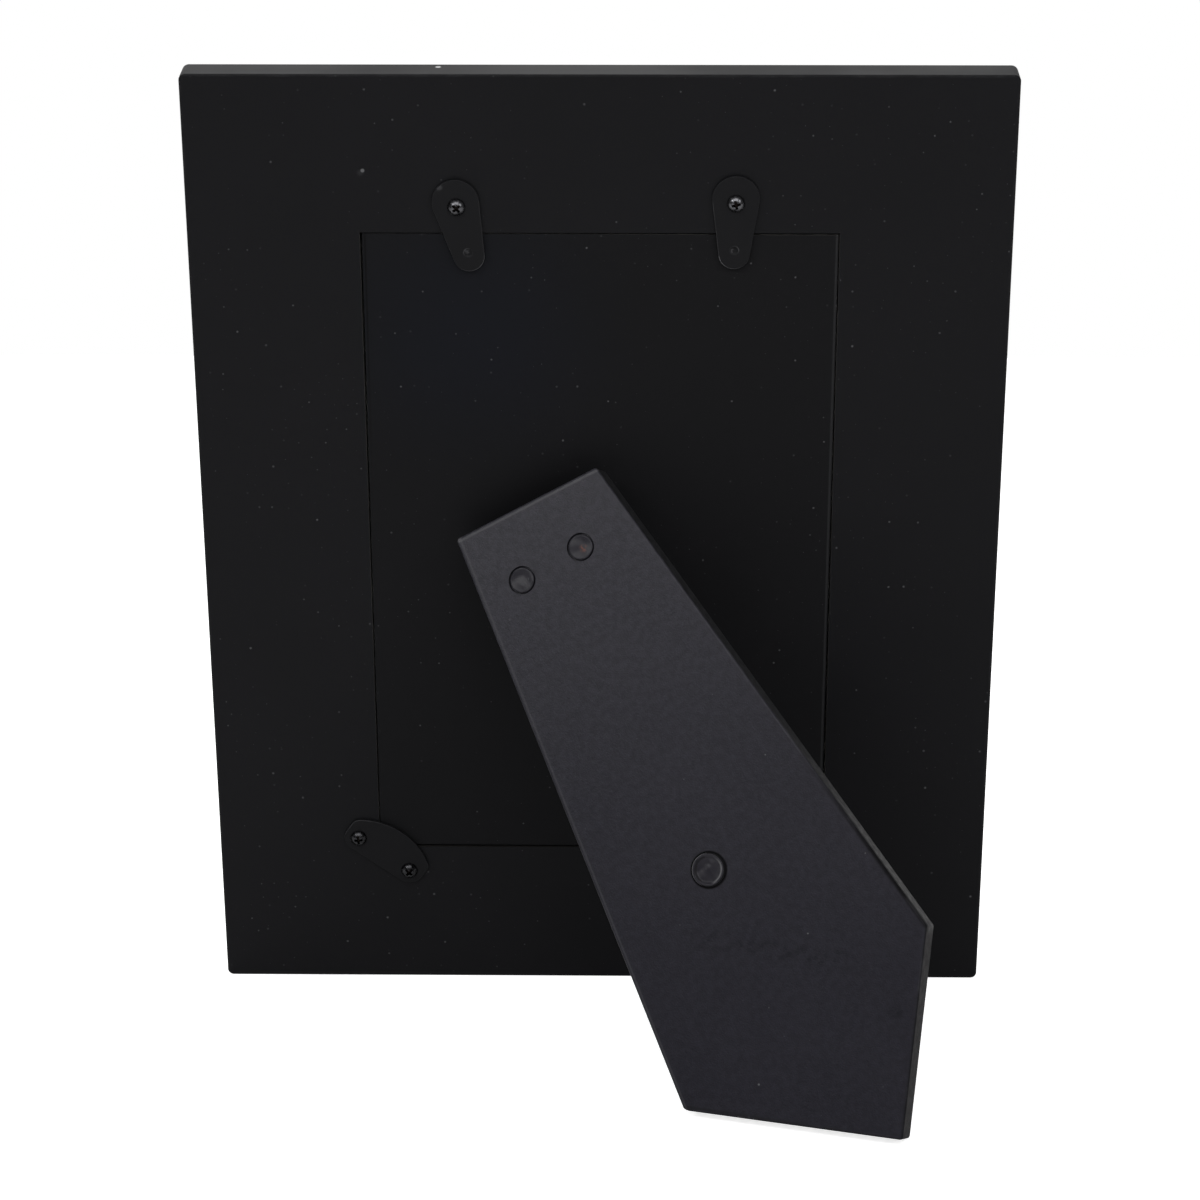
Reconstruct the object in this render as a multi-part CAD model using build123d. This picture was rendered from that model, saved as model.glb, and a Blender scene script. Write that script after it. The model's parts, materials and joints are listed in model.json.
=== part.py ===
import math
import os

from build123d import *

# Picture and the borders of the frame board round it
photo_width = 101.6
photo_height = 152.4
photo_margin_side = 2.95
photo_margin_end = 2.3
border_side = 38.75
border_end = 36.5
frame_thickness = 8.6
frame_corner_radius = 1.5
front_edge_radius = 1.0

# Picture window in the front
window_overlap = 2.5
window_bevel = 1.2

# Layers in the pocket, from the front to the back
glass_thickness = 2.0
glass_clearance = 0.5
insert_thickness = 0.3
panel_thickness = 3.0
panel_clearance = 0.4
panel_recess = 0.3
panel_skew_share = 0.7

# Round-head screws
screw_head_radius = 2.0
screw_head_height = 1.4
screw_shank_radius = 1.1
screw_depth = 5.6
screw_point = 1.8
screw_clearance = 0.05
recess_length = 2.5
recess_width = 0.6
recess_depth = 0.9
turn_screw_angle_left = 30.0
turn_screw_angle_right = 14.0
plate_screw_angles = (41.0, 84.0)

# Teardrop turn buttons over the panel's upper edge
button_left_inset = 21.9
button_right_inset = 23.35
button_left_rise = 6.3
button_right_rise = 7.25
button_left_turn = 12.6
button_right_turn = -1.2
button_head_radius = 5.3
button_head_rise = 1.0
button_tip_radius = 3.5
button_reach = 11.9
button_thickness = 0.8
button_play = 0.05
dimple_reach = 11.0
dimple_radius = 1.0
dimple_depth = 0.4

# Retaining plates over the panel's lower corners
plate_half_length = 10.95
plate_screw_half_pitch = 7.5
plate_apex = 7.45
plate_arc_radius = 17.1
plate_end_radius = 3.4
plate_top_corner = 2.4
plate_thickness = 0.8
plate_inset_x = 1.0
plate_drop = 1.7
plate_slant = -36.4

# Lean of the frame on its foot, upright and on its side
lean = 10.8
side_lean = 13.5

# Slanted hinge between the panel and the leg
hinge_x = -14.1
hinge_rise = 9.8
hinge_slant = 32.0
leg_opening = 35.0
hinge_width = 30.0
knuckle_centre = 10.0
knuckle_gap = 0.3
knuckle_radius = 1.6
pin_radius = 0.8
pin_clearance = 0.03
pin_overhang = 0.4
leaf_thickness = 0.8
leaf_length = 20.0
leaf_offset = 2.0
leaf_neck = 2.6
leaf_corner_radius = 2.0

# Five-cornered board leg
leg_thickness = 7.0
leg_left = 18.0
leg_right = 19.6
leg_top_rise = 2.04
leg_top_tilt = -2.6
leg_left_flare = 3.96
leg_right_flare = 9.39
leg_heel_radius = 3.0
leg_corner_radius = 0.8

# Rivets
leg_rivet_half_pitch = 7.9
leg_rivet_drop = 13.4
panel_rivet_half_pitch = 4.2
rivet_head_radius = 2.95
rivet_head_thickness = 0.8
rivet_rim_gap = 0.3
rivet_shank_radius = 1.5
rivet_tail_radius = 2.5
rivet_tail_thickness = 0.5
rivet_clearance = 0.03

# Strap that stops the opening leg, and its rivets
strap_width = 10.0
strap_thickness = 0.5
strap_end = 6.0
strap_flat = 5.0
strap_bend = 1.5
stay_x = 1.8
stay_leg_drop = 92.7
stay_panel_drop = 45.0
stay_head_radius = 3.8
stay_head_rise = 0.75
stay_dish_radius = 2.9
stay_dish_depth = 0.6
stay_rim_round = 0.5
stay_shank_radius = 2.0

pocket_width = photo_width + 2 * photo_margin_side
pocket_height = photo_height + 2 * photo_margin_end
frame_width = pocket_width + 2 * border_side
frame_height = pocket_height + 2 * border_end
window_width = photo_width - 2 * window_overlap
window_height = photo_height - 2 * window_overlap
pocket_depth = glass_thickness + insert_thickness + panel_thickness + panel_recess
pocket_floor = -pocket_depth
panel_face = -panel_recess
middle = frame_height / 2
pocket_top = middle + pocket_height / 2
pocket_bottom = middle - pocket_height / 2

# The pieces are drawn with the back of the frame in the XY plane: X to the right as seen from
# behind, Y up the back, Z out of the back, and the rear bottom edge along the X axis.
hinge_height = panel_face + leaf_offset
hinge_y = middle + hinge_rise
stand = Plane(
    origin=(0, 0, 0),
    x_dir=(-1, 0, 0),
    z_dir=(0, math.cos(math.radians(lean)), -math.sin(math.radians(lean))),
).location
hinge = Pos(hinge_x, hinge_y, hinge_height) * Rot(0, 0, hinge_slant)
leg_open = hinge * Rot(-leg_opening, 0, 0)


def slab(width, height, low, high):
    return extrude(Pos(0, middle, low) * Rectangle(width, height), high - low)


def rod(radius, low, high):
    return extrude(Pos(0, 0, low) * Circle(radius), high - low)


def turned(*edges):
    return revolve(make_face(edges), Axis.Z)


def frame_body():
    outline = RectangleRounded(frame_width, frame_height, frame_corner_radius)
    board = extrude(Pos(0, middle, -frame_thickness) * outline, frame_thickness)
    front = board.faces().sort_by(Axis.Z)[0]
    board = fillet(front.edges(), front_edge_radius)
    board -= slab(pocket_width, pocket_height, pocket_floor, 0)
    board -= slab(window_width, window_height, -frame_thickness, 0)
    rim = board.faces().sort_by(Axis.Z)[0].inner_wires()[0]
    board = chamfer(rim.edges(), window_bevel)
    for spot in turn_spots() + plate_spots(-1) + plate_spots(1):
        board -= spot * rod(screw_shank_radius + screw_clearance, -screw_depth - screw_clearance, 0)
    return board


def glass_pane():
    width = pocket_width - 2 * glass_clearance
    height = pocket_height - 2 * glass_clearance
    return slab(width, height, pocket_floor, pocket_floor + glass_thickness)


def photo_insert():
    low = pocket_floor + glass_thickness
    return slab(photo_width, photo_height, low, low + insert_thickness)


# The panel sits a little crooked within its clearance.
def back_panel():
    width = pocket_width - 2 * panel_clearance
    height = pocket_height - 2 * panel_clearance
    skew = math.degrees(panel_skew_share * 2 * panel_clearance / (width + height))
    board = extrude(Rectangle(width, height), -panel_thickness)
    board = Pos(0, middle, panel_face) * Rot(0, 0, -skew) * board
    for x in (-panel_rivet_half_pitch, panel_rivet_half_pitch):
        board -= hinge * Pos(x, -leg_rivet_drop, 0) * panel_hole(rivet_shank_radius, rivet_tail_radius)
    anchor = hinge * Pos(stay_x, -stay_panel_drop, 0)
    return board - anchor * panel_hole(stay_shank_radius, stay_head_radius)


# A hole through the panel with a counterbore for the rivet's tail in the panel's front face.
def panel_hole(shank, tail):
    face = -leaf_offset
    hole = rod(shank + rivet_clearance, face - panel_thickness, face)
    seat = face - panel_thickness + rivet_tail_thickness
    return hole + rod(tail + rivet_clearance, face - panel_thickness, seat)


def turn_spots():
    left_x = button_left_inset - pocket_width / 2
    right_x = pocket_width / 2 - button_right_inset
    left = Pos(left_x, pocket_top + button_left_rise, 0) * Rot(0, 0, button_left_turn)
    right = Pos(right_x, pocket_top + button_right_rise, 0) * Rot(0, 0, button_right_turn)
    return [left, right]


def turn_button(spot):
    head = Pos(0, button_head_rise) * Circle(button_head_radius)
    tip = Pos(0, -button_reach) * Circle(button_tip_radius)
    plate = extrude(make_hull(head.edges() + tip.edges()), button_thickness)
    plate -= Pos(0, -dimple_reach, button_thickness) * dimple()
    plate -= rod(screw_shank_radius + screw_clearance, 0, button_thickness)
    return spot * Pos(0, 0, button_play) * plate


# The middle of a round cap's arc: its distance from the axis and its depth below the crown.
def cap_middle(radius, height):
    ball = (radius**2 + height**2) / (2 * height)
    half_angle = math.asin(radius / ball) / 2
    return ball * math.sin(half_angle), ball * (1 - math.cos(half_angle))


# The round dent that is pressed into a button's outer face, drawn below level zero.
def dimple():
    side, rise = cap_middle(dimple_radius, dimple_depth)
    return turned(
        Line((0, 0, 0), (dimple_radius, 0, 0)),
        ThreePointArc((dimple_radius, 0, 0), (side, 0, rise - dimple_depth), (0, 0, -dimple_depth)),
        Line((0, 0, -dimple_depth), (0, 0, 0)),
    )


# A pointed screw with a cross recess in its round head, turned to the given angle.
def screw(seat, angle):
    top = seat + screw_head_height
    side, depth = cap_middle(screw_head_radius, screw_head_height)
    body = turned(
        ThreePointArc((0, 0, top), (side, 0, top - depth), (screw_head_radius, 0, seat)),
        Polyline(
            (screw_head_radius, 0, seat),
            (screw_shank_radius, 0, seat),
            (screw_shank_radius, 0, screw_point - screw_depth),
            (0, 0, -screw_depth),
            (0, 0, top),
        ),
    )
    bar = Pos(0, 0, top) * Box(recess_length, recess_width, 2 * recess_depth)
    return body - Rot(0, 0, angle) * bar - Rot(0, 0, angle + 90) * bar


def turn_screw(spot, angle):
    return spot * screw(button_thickness + 2 * button_play, angle)


# Centre of the retaining plate at the lower left (side -1) or lower right (side 1) corner.
def plate_place(side):
    x = side * (pocket_width / 2 - plate_inset_x)
    return Pos(x, pocket_bottom - plate_drop, 0) * Rot(0, 0, -side * plate_slant)


def plate_spots(side):
    return [plate_place(side) * Pos(x, 0, 0) for x in (-plate_screw_half_pitch, plate_screw_half_pitch)]


def corner_plate(side):
    depth = plate_apex + plate_end_radius
    strip = Pos(0, plate_apex - depth / 2) * Rectangle(2 * plate_half_length, depth)
    outline = strip & Pos(0, plate_apex - plate_arc_radius) * Circle(plate_arc_radius)
    corners = outline.vertices().sort_by(Axis.Y)
    outline = fillet(corners[:2], plate_end_radius)
    outline = fillet(outline.vertices().sort_by(Axis.Y)[-2:], plate_top_corner)
    plate = extrude(outline, plate_thickness)
    for x in (-plate_screw_half_pitch, plate_screw_half_pitch):
        plate -= Pos(x, 0, 0) * rod(screw_shank_radius + screw_clearance, 0, plate_thickness)
    return plate_place(side) * plate


def corner_screws(side):
    pairs = zip(plate_spots(side), plate_screw_angles)
    return Compound([spot * screw(plate_thickness, angle) for spot, angle in pairs])


# One hinge leaf, drawn for the leg: a plate that steps down to the knuckles round the pin.
def hinge_leaf(spans, hole_half_pitch):
    low = leaf_offset - leaf_thickness
    body = (leaf_length - leaf_neck) / 2
    plate = RectangleRounded(hinge_width, 2 * body, leaf_corner_radius)
    leaf = extrude(Pos(0, -leaf_neck - body, low) * plate, leaf_thickness)
    bore = pin_radius + pin_clearance
    profile = Circle(knuckle_radius)
    neck_points = [(-leaf_neck - leaf_corner_radius, low), (-leaf_neck, low), (0, bore), (0, knuckle_radius)]
    neck_points += [(-leaf_neck, leaf_offset), (-leaf_neck - leaf_corner_radius, leaf_offset)]
    profile += make_face(Polyline(neck_points, close=True))
    profile -= Circle(bore)
    for start, end in spans:
        leaf += extrude(Plane.YZ.offset(start) * profile, end - start)
    for x in (-hole_half_pitch, hole_half_pitch):
        hole = rod(rivet_shank_radius + rivet_clearance, low, leaf_offset)
        leaf -= Pos(x, -leg_rivet_drop, 0) * hole
    return leaf


def hinge_leaf_leg():
    half = knuckle_centre / 2
    return leg_open * hinge_leaf([(-half, half)], leg_rivet_half_pitch)


def hinge_leaf_panel():
    start = knuckle_centre / 2 + knuckle_gap
    end = hinge_width / 2
    leaf = hinge_leaf([(-end, -start), (start, end)], panel_rivet_half_pitch)
    return hinge * mirror(leaf, Plane.XY)


def hinge_pin():
    length = hinge_width + 2 * pin_overhang
    pin = extrude(Plane.YZ * Circle(pin_radius), length / 2, both=True)
    return hinge * pin


# The line in which a supporting surface meets the leg's inner face, in the leg's coordinates.
def foot_line(surface):
    inner = Plane.XY.offset(leaf_offset)
    placed = Plane((stand * leg_open) * inner.location)
    line = placed.intersect(surface)
    start = placed.to_local_coords(line.position)
    end = placed.to_local_coords(line.position + line.direction)
    return start, end - start


def crossing(first, second):
    (p, d), (q, e) = first, second
    step = ((q.X - p.X) * e.Y - (q.Y - p.Y) * e.X) / (d.X * e.Y - d.Y * e.X)
    return (p.X + step * d.X, p.Y + step * d.Y)


def sloped(point, degrees):
    angle = math.radians(degrees)
    return Vector(*point), Vector(math.cos(angle), math.sin(angle))


# Both foot edges are cut to lie flat on the table, with the frame upright or on its side.
def leg_outline():
    turn = math.radians(side_lean)
    corner = stand * Pos(frame_width / 2, 0, 0)
    upright = Plane.XY
    sideways = Plane(
        origin=corner.position,
        x_dir=stand.y_axis.direction,
        z_dir=-(stand.x_axis.direction * math.cos(turn) + stand.z_axis.direction * math.sin(turn)),
    )
    top = sloped((0, leg_top_rise), leg_top_tilt)
    left = sloped((-leg_left, 0), 90 - leg_left_flare)
    right = sloped((leg_right, 0), 90 + leg_right_flare)
    foot = foot_line(upright)
    side_foot = foot_line(sideways)
    lines = [top, right, side_foot, foot, left]
    corners = [crossing(lines[i], lines[(i + 1) % 5]) for i in range(5)]
    outline = make_face(Polyline(corners, close=True))
    heel = outline.vertices().sort_by_distance((*corners[3], 0))[0]
    outline = fillet(heel, leg_heel_radius)
    sharp = [v for v in outline.vertices() if min(math.dist((v.X, v.Y), c) for c in corners) < 0.01]
    return fillet(sharp, leg_corner_radius)


def easel_leg():
    low = leaf_offset
    high = leaf_offset + leg_thickness
    leg = extrude(Pos(0, 0, low) * leg_outline(), leg_thickness)
    for x in (-leg_rivet_half_pitch, leg_rivet_half_pitch):
        place = Pos(x, -leg_rivet_drop, 0)
        leg -= place * rod(rivet_shank_radius + rivet_clearance, low, high)
        leg -= place * rod(rivet_head_radius + rivet_rim_gap, high - rivet_head_thickness, high)
    leg -= Pos(stay_x, -stay_leg_drop, 0) * rod(stay_shank_radius + rivet_clearance, low, high)
    return leg_open * leg


# A flat rivet: head, shank and flattened tail, from the outside in.
def flat_rivet(head_top, tail_face):
    shank_top = head_top - rivet_head_thickness
    shank_end = tail_face
    rivet = rod(rivet_head_radius, shank_top, head_top)
    rivet += rod(rivet_shank_radius, shank_end, shank_top)
    rivet += rod(rivet_tail_radius, shank_end - rivet_tail_thickness, shank_end)
    return rivet


def leg_rivet(side):
    rivet = flat_rivet(leaf_offset + leg_thickness, leaf_offset - leaf_thickness)
    return leg_open * Pos(side * leg_rivet_half_pitch, -leg_rivet_drop, 0) * rivet


def panel_rivets():
    head_seat = leaf_thickness - leaf_offset
    tail_low = -leaf_offset - panel_thickness
    rivet = rod(rivet_tail_radius, head_seat, head_seat + rivet_tail_thickness)
    rivet += rod(rivet_shank_radius, tail_low, head_seat)
    rivet += rod(rivet_tail_radius, tail_low, tail_low + rivet_tail_thickness)
    places = [Pos(x, -leg_rivet_drop, 0) for x in (-panel_rivet_half_pitch, panel_rivet_half_pitch)]
    return Compound([hinge * place * rivet for place in places])


# A large rivet with a raised rim and a dished middle, drawn with its head's seat at level zero.
def stay_rivet(shank_length):
    low = stay_head_rise - stay_dish_depth
    side, height = cap_middle(stay_dish_radius, stay_dish_depth)
    turn = stay_rim_round * (1 - math.sqrt(0.5))
    shoulder = stay_head_radius - stay_rim_round
    end = -shank_length
    tail = end - rivet_tail_thickness
    return turned(
        ThreePointArc((0, 0, low), (side, 0, low + height), (stay_dish_radius, 0, stay_head_rise)),
        Line((stay_dish_radius, 0, stay_head_rise), (shoulder, 0, stay_head_rise)),
        ThreePointArc(
            (shoulder, 0, stay_head_rise),
            (stay_head_radius - turn, 0, stay_head_rise - turn),
            (stay_head_radius, 0, stay_head_rise - stay_rim_round),
        ),
        Polyline(
            (stay_head_radius, 0, stay_head_rise - stay_rim_round),
            (stay_head_radius, 0, 0),
            (stay_shank_radius, 0, 0),
            (stay_shank_radius, 0, end),
            (stay_head_radius, 0, end),
            (stay_head_radius, 0, tail),
            (0, 0, tail),
            (0, 0, low),
        ),
    )


def stay_rivet_leg():
    head = leaf_offset + leg_thickness
    rivet = stay_rivet(leg_thickness + strap_thickness)
    return leg_open * Pos(stay_x, -stay_leg_drop, head) * rivet


def stay_rivet_panel():
    rivet = stay_rivet(strap_thickness + panel_thickness - rivet_tail_thickness)
    return hinge * Pos(stay_x, -stay_panel_drop, strap_thickness - leaf_offset) * rivet


# A point of the leg's inner side, given along the leg, as it stands at the hinge when open.
def on_leg(y, z):
    angle = math.radians(leg_opening)
    return (y * math.cos(angle) + z * math.sin(angle), z * math.cos(angle) - y * math.sin(angle))


# The strap lies flat on the panel, runs tight across to the leg and lies flat there.
def stay_strap():
    half = strap_thickness / 2
    on_panel = half - leaf_offset
    points = [
        (-stay_panel_drop + strap_end, on_panel),
        (-stay_panel_drop - strap_flat, on_panel),
        on_leg(-stay_leg_drop + strap_flat, leaf_offset - half),
        on_leg(-stay_leg_drop - strap_end, leaf_offset - half),
    ]
    path = Plane.YZ.offset(stay_x) * FilletPolyline(points, radius=strap_bend)
    start = Plane(origin=path @ 0, x_dir=(1, 0, 0), z_dir=path % 0)
    strap = hinge * sweep(start * Rectangle(strap_width, strap_thickness), path=path)
    hole = rod(stay_shank_radius + rivet_clearance, -strap_thickness, strap_thickness)
    strap -= hinge * Pos(stay_x, -stay_panel_drop, on_panel) * hole
    strap -= leg_open * Pos(stay_x, -stay_leg_drop, leaf_offset - half) * hole
    return strap


left_spot, right_spot = turn_spots()
nodes = {
    "frame_body": frame_body(),
    "glass_pane": glass_pane(),
    "photo_insert": photo_insert(),
    "back_panel": back_panel(),
    "turn_button_left": turn_button(left_spot),
    "turn_button_right": turn_button(right_spot),
    "turn_screw_left": turn_screw(left_spot, turn_screw_angle_left),
    "turn_screw_right": turn_screw(right_spot, turn_screw_angle_right),
    "corner_plate_left": corner_plate(-1),
    "corner_plate_right": corner_plate(1),
    "corner_screws_left": corner_screws(-1),
    "corner_screws_right": corner_screws(1),
    "easel_leg": easel_leg(),
    "hinge_leaf_leg": hinge_leaf_leg(),
    "hinge_leaf_panel": hinge_leaf_panel(),
    "hinge_pin": hinge_pin(),
    "leg_rivet_left": leg_rivet(-1),
    "leg_rivet_right": leg_rivet(1),
    "panel_rivets": panel_rivets(),
    "stay_rivet_leg": stay_rivet_leg(),
    "stay_rivet_panel": stay_rivet_panel(),
    "stay_strap": stay_strap(),
}

# The frame stands on its rear bottom edge and the leg's foot; the origin is under the middle.
nodes = {name: stand * piece for name, piece in nodes.items()}
box = Compound(list(nodes.values())).bounding_box()
home = Pos(-(box.min.X + box.max.X) / 2, -(box.min.Y + box.max.Y) / 2, -box.min.Z)
os.makedirs("parts", exist_ok=True)
for name, piece in nodes.items():
    export_step(home * piece, f"parts/{name}.step")


def show(label, place):
    spot = (home * stand * place).position
    print(label, [round(value, 4) for value in tuple(spot)])


axis = (home * stand * hinge).x_axis.direction
show("leg hinge at", hinge)
print("leg hinge axis", [round(value, 6) for value in tuple(axis)])
show("left button at", left_spot)
show("right button at", right_spot)
outward = (home * stand).z_axis.direction
print("button axis", [round(value, 6) for value in tuple(outward)])
show("rear bottom edge at", Pos(0, 0, 0))
show("bottom face centre at", Pos(0, 0, -frame_thickness / 2))
show("window centre at", Pos(0, middle, -frame_thickness))
print("size", [round(value, 3) for value in tuple(box.size)])
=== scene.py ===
import json
import math

import bmesh
import bpy
from mathutils import Matrix, Quaternion, Vector, geometry, noise
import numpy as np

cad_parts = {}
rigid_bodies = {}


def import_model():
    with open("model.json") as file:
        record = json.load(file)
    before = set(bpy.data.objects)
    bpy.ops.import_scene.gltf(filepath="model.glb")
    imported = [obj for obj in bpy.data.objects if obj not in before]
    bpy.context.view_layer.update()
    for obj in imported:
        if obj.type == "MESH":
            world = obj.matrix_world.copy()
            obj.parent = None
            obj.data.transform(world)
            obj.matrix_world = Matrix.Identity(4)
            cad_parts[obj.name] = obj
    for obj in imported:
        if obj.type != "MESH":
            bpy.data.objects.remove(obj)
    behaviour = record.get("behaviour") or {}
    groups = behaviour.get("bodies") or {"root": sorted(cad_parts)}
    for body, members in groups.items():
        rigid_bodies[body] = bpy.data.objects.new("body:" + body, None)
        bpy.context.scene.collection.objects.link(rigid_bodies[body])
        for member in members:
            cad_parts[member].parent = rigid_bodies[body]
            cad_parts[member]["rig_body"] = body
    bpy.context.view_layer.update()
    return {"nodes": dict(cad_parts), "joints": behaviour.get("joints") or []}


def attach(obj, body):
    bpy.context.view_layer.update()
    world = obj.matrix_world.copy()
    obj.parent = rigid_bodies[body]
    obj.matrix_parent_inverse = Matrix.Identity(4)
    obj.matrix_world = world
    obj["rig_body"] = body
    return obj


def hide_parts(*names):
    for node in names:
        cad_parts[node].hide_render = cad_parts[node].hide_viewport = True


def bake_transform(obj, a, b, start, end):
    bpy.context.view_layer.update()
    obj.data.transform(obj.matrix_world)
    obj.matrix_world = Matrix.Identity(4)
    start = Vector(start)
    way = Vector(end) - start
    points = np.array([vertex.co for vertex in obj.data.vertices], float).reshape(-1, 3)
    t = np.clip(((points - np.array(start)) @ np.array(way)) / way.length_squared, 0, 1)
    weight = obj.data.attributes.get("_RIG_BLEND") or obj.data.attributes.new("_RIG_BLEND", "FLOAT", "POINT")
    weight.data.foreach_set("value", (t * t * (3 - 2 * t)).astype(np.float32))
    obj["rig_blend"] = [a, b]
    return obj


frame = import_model()
nodes = frame["nodes"]
joints = {joint["name"]: joint for joint in frame["joints"]}
mm = 0.001
print("frame loaded,", len(nodes), "nodes")


# Places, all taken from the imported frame

def axesAt(origin, right, up, out):
    return Matrix.Translation(origin) @ Matrix((right, up, out)).transposed().to_4x4()


def pointsOf(nodeName, place):  # a node's vertices, measured along the axes of a place
    back = place.inverted()
    return [back @ vertex.co for vertex in nodes[nodeName].data.vertices]


def spanOf(points):  # lowest and highest corner
    low = Vector([min(point[i] for point in points) for i in range(3)])
    high = Vector([max(point[i] for point in points) for i in range(3)])
    return low, high


def nodeSpan(nodeName, place):
    return spanOf(pointsOf(nodeName, place))


def centreOf(nodeName, place):
    low, high = nodeSpan(nodeName, place)
    return (low + high) / 2


def midPlace(place, low, high):  # a place moved along its face to the middle of a span
    return place @ Matrix.Translation(((low.x + high.x) / 2, (low.y + high.y) / 2, 0))


hingeJoint = joints["leg_fold"]
hingePoint = Vector(hingeJoint["pos_m"])
hingeAxis = Vector(hingeJoint["axis"]).normalized()
legOpening = math.radians(hingeJoint["range_deg"][1])
boardOut = Vector(joints["button_left_turn"]["axis"]).normalized()
boardRight = Vector((-1, 0, 0))  # right and up as seen from behind
boardUp = boardOut.cross(boardRight)
legOut = Quaternion(hingeAxis, -legOpening) @ boardOut

boardPlace = axesAt(Vector(), boardRight, boardUp, boardOut)
boardLow, boardHigh = nodeSpan("frame_body", boardPlace)
boardPlace = boardPlace @ Matrix.Translation((0, boardLow.y, boardHigh.z))  # rear bottom edge
boardLow, boardHigh = nodeSpan("frame_body", boardPlace)
panelLow, panelHigh = nodeSpan("back_panel", boardPlace)
hingePlace = axesAt(hingePoint, hingeAxis, boardOut.cross(hingeAxis), boardOut)
legPlace = axesAt(hingePoint, hingeAxis, legOut.cross(hingeAxis), legOut)
legLow, legHigh = nodeSpan("easel_leg", legPlace)


# Node helpers

def addNode(tree, kind, inputs=None, **settings):
    node = tree.nodes.new(kind)
    for name, value in settings.items():
        setattr(node, name, value)
    for key, value in (inputs or {}).items():
        if isinstance(value, bpy.types.NodeSocket):
            tree.links.new(value, node.inputs[key])
        else:
            node.inputs[key].default_value = value
    return node


def calc(tree, operation, first, second=0.0, clamp=False):
    inputs = {0: first, 1: second}
    return addNode(tree, "ShaderNodeMath", inputs, operation=operation, use_clamp=clamp).outputs[0]


def times(tree, first, *others):  # the product of all the values
    for value in others:
        first = calc(tree, "MULTIPLY", first, value)
    return first


def awayFrom(tree, value, middle):
    return calc(tree, "ABSOLUTE", calc(tree, "SUBTRACT", value, middle))


def fade(tree, value, start, end, low=0.0, high=1.0):  # smooth step from low at start to high at end
    inputs = {"Value": value, "From Min": start, "From Max": end, "To Min": low, "To Max": high}
    return addNode(tree, "ShaderNodeMapRange", inputs, interpolation_type="SMOOTHSTEP").outputs["Result"]


def mixColor(tree, share, first, second):
    return addNode(tree, "ShaderNodeMix", {0: share, 6: first, 7: second}, data_type="RGBA").outputs[2]


def mixValue(tree, share, first, second):
    return addNode(tree, "ShaderNodeMix", {0: share, 2: first, 3: second}).outputs[0]


def scaleColor(tree, color, level):
    inputs = {0: color, "Scale": level}
    return addNode(tree, "ShaderNodeVectorMath", inputs, operation="SCALE").outputs[0]


def noiseAt(tree, vector, scale, detail=3.0, roughness=0.5):
    inputs = {"Vector": vector, "Scale": scale, "Detail": detail, "Roughness": roughness}
    return addNode(tree, "ShaderNodeTexNoise", inputs).outputs["Fac"]


def splitAxes(tree, vector):
    return addNode(tree, "ShaderNodeSeparateXYZ", {0: vector}).outputs


def objectCoords(tree):
    return addNode(tree, "ShaderNodeTexCoord").outputs


def edgeMarks(tree):  # the value that a piece's faces carry at worn edges, cuts, painted highlights and painted shade
    return addNode(tree, "ShaderNodeAttribute", attribute_name="edge").outputs["Fac"]


def bumpFrom(tree, height, distance, strength):
    inputs = {"Height": height, "Distance": distance, "Strength": strength}
    return addNode(tree, "ShaderNodeBump", inputs).outputs["Normal"]


def newGroup(name, inputs, outputs):
    group = bpy.data.node_groups.new(name, "ShaderNodeTree")
    for direction, sockets in (("INPUT", inputs), ("OUTPUT", outputs)):
        for label, kind in sockets.items():
            group.interface.new_socket(label, in_out=direction, socket_type="NodeSocket" + kind)
    return group, group.nodes.new("NodeGroupInput").outputs, group.nodes.new("NodeGroupOutput").inputs


def useGroup(tree, group, inputs):
    return addNode(tree, "ShaderNodeGroup", inputs, node_tree=group).outputs


socketNames = {
    "color": "Base Color", "rough": "Roughness", "metal": "Metallic", "gloss": "Specular IOR Level",
    "ior": "IOR", "clear": "Transmission Weight", "sheen": "Sheen Weight", "sheenRough": "Sheen Roughness",
    "normal": "Normal",
}


def newMaterial(name, **settings):  # settings go on the shader's own sockets
    material = bpy.data.materials.new(name)
    material.use_nodes = True
    tree = material.node_tree
    shader = tree.nodes["Principled BSDF"]
    for key, value in settings.items():
        shader.inputs[socketNames[key]].default_value = value
    return material, tree, shader.inputs


def connect(tree, sockets, **values):  # what changes over the surface is linked to the shader
    for key, value in values.items():
        tree.links.new(value, sockets[socketNames[key]])


# Where a point lies on a flat piece, and which way its face looks

faceLook = {"outward": (0.75, 0.95), "flat": (0.1, 0.5)}


def mapped(tree, vector, **place):
    return addNode(tree, "ShaderNodeMapping", {"Vector": vector, **place}, vector_type="TEXTURE").outputs[0]


def flatCoords(tree, place):  # object coordinates measured along the axes of a place, whole and split
    coords = objectCoords(tree)["Object"]
    vector = mapped(tree, coords, Location=place.translation, Rotation=place.to_euler())
    return vector, splitAxes(tree, vector)


def facingMasks(tree, place):  # one on faces that look outwards, and one on flat faces of either side
    normal = mapped(tree, objectCoords(tree)["Normal"], Rotation=place.to_euler())
    facing = splitAxes(tree, normal)["Z"]
    flat = fade(tree, calc(tree, "ABSOLUTE", facing), *faceLook["flat"])
    return fade(tree, facing, *faceLook["outward"]), flat


def distanceTo(tree, at, spot):
    across = calc(tree, "SUBTRACT", at["X"], spot[0])
    along = calc(tree, "SUBTRACT", at["Y"], spot[1])
    return calc(tree, "SQRT", calc(tree, "ADD", times(tree, across, across), times(tree, along, along)))


def spotAt(tree, at, spot, radius, soft=0.5):  # round mark at a flat place
    return fade(tree, distanceTo(tree, at, spot), radius, radius * soft)


# Shared effects. A fade is given as start, end, low, high, and a noise as scale, detail, roughness

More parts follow.
